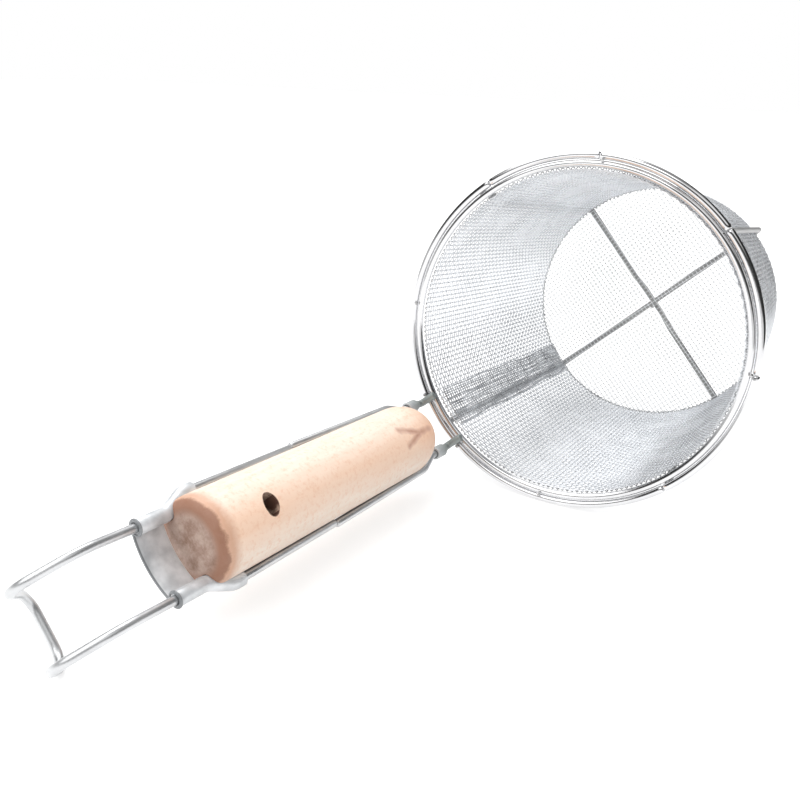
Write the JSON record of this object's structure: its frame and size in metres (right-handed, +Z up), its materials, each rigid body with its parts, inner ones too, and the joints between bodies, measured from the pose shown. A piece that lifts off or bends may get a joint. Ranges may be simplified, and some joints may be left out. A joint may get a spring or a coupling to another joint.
{
  "type": "noodle strainer",
  "caption": "Deep round wire-mesh noodle strainer with a double wire rim, crossed straps, a wooden grip held between two wires and a wire pot hook.",
  "frame": {"origin": "On the table, below the middle of the bounding box of the strainer as it lies", "axes": "+Z is up from the table. The basket lies on its side with its axis in the YZ plane, mouth towards -Y and bottom towards +Y, and the handle runs from the mouth towards -Y on the -X side."},
  "size_m": [0.1692, 0.3614, 0.1455],
  "materials": {
    "mesh": "woven stainless wire, open mesh",
    "ring_wire": "polished stainless wire",
    "strap_wire": "drawn stainless wire",
    "frame_wire": "polished stainless wire",
    "clip_sheet": "rolled stainless sheet",
    "wood": "turned pale hardwood, unvarnished",
    "weld": "weld nub"
  },
  "bodies": {
    "root": {"frame_wire": "frame_wire", "front_clip": "clip_sheet", "rear_clip": "clip_sheet", "wood_grip": "wood", "side_mesh": "mesh", "bottom_mesh": "mesh", "seam_lap": "mesh", "rim_ring": "ring_wire", "outer_ring": "ring_wire", "long_strap": "strap_wire", "cross_strap": "strap_wire", "ring_tack_45": "weld", "ring_tack_135": "weld", "ring_tack_225": "weld", "ring_tack_315": "weld", "strap_weld_near": "weld", "strap_weld_right": "weld", "strap_weld_far": "weld", "strap_weld_left": "weld", "leg_weld_left": "weld", "leg_weld_right": "weld", "cross_weld": "weld"}
  },
  "joints": []
}
